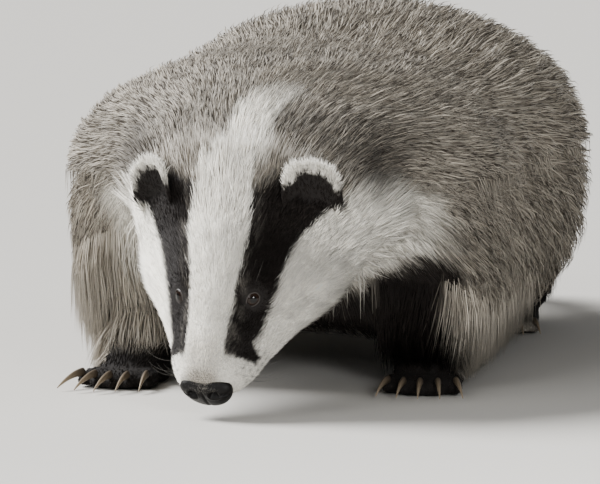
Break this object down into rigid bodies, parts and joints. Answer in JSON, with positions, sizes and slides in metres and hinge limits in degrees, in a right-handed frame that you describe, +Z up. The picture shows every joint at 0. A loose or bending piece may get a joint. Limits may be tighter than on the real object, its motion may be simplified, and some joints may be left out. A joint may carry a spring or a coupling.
{
  "type": "european badger",
  "caption": "Life-size still model of a European badger standing with its lowered head sniffing the ground, with a striped face, long grey coat, black legs and digging claws.",
  "frame": {"origin": "on the floor, under the middle of the bounding box", "axes": "+Z up, head towards -Y, tail towards +Y, the animal's left side towards +X"},
  "size_m": [0.3528, 0.81, 0.2714],
  "materials": {
    "face_fur": "short dense fur, white with two black stripes",
    "coat": "long bristly guard hair, pale with a dark band near the tip",
    "tail_coat": "long pale hair",
    "ear_fur": "short black fur with a white rim",
    "leg_fur": "short black fur",
    "nose_skin": "damp pebbled black skin",
    "eye_gloss": "wet glossy dark brown eye",
    "claw_horn": "smooth brown horn, paler at the tip"
  },
  "bodies": {
    "root": {"head": "face_fur", "nose": "nose_skin", "neck": "coat", "torso": "coat", "tail": "tail_coat", "ear_left": "ear_fur", "eye_left": "eye_gloss", "foreleg_left": "leg_fur", "forepaw_left": "leg_fur", "hindleg_left": "leg_fur", "hindpaw_left": "leg_fur", "ear_right": "ear_fur", "eye_right": "eye_gloss", "foreleg_right": "leg_fur", "forepaw_right": "leg_fur", "hindleg_right": "leg_fur", "hindpaw_right": "leg_fur", "claw_foreleft_1": "claw_horn", "claw_foreleft_2": "claw_horn", "claw_foreleft_3": "claw_horn", "claw_foreleft_4": "claw_horn", "claw_foreleft_5": "claw_horn", "claw_foreright_1": "claw_horn", "claw_foreright_2": "claw_horn", "claw_foreright_3": "claw_horn", "claw_foreright_4": "claw_horn", "claw_foreright_5": "claw_horn", "claw_hindleft_1": "claw_horn", "claw_hindleft_2": "claw_horn", "claw_hindleft_3": "claw_horn", "claw_hindleft_4": "claw_horn", "claw_hindleft_5": "claw_horn", "claw_hindright_1": "claw_horn", "claw_hindright_2": "claw_horn", "claw_hindright_3": "claw_horn", "claw_hindright_4": "claw_horn", "claw_hindright_5": "claw_horn"}
  },
  "joints": []
}
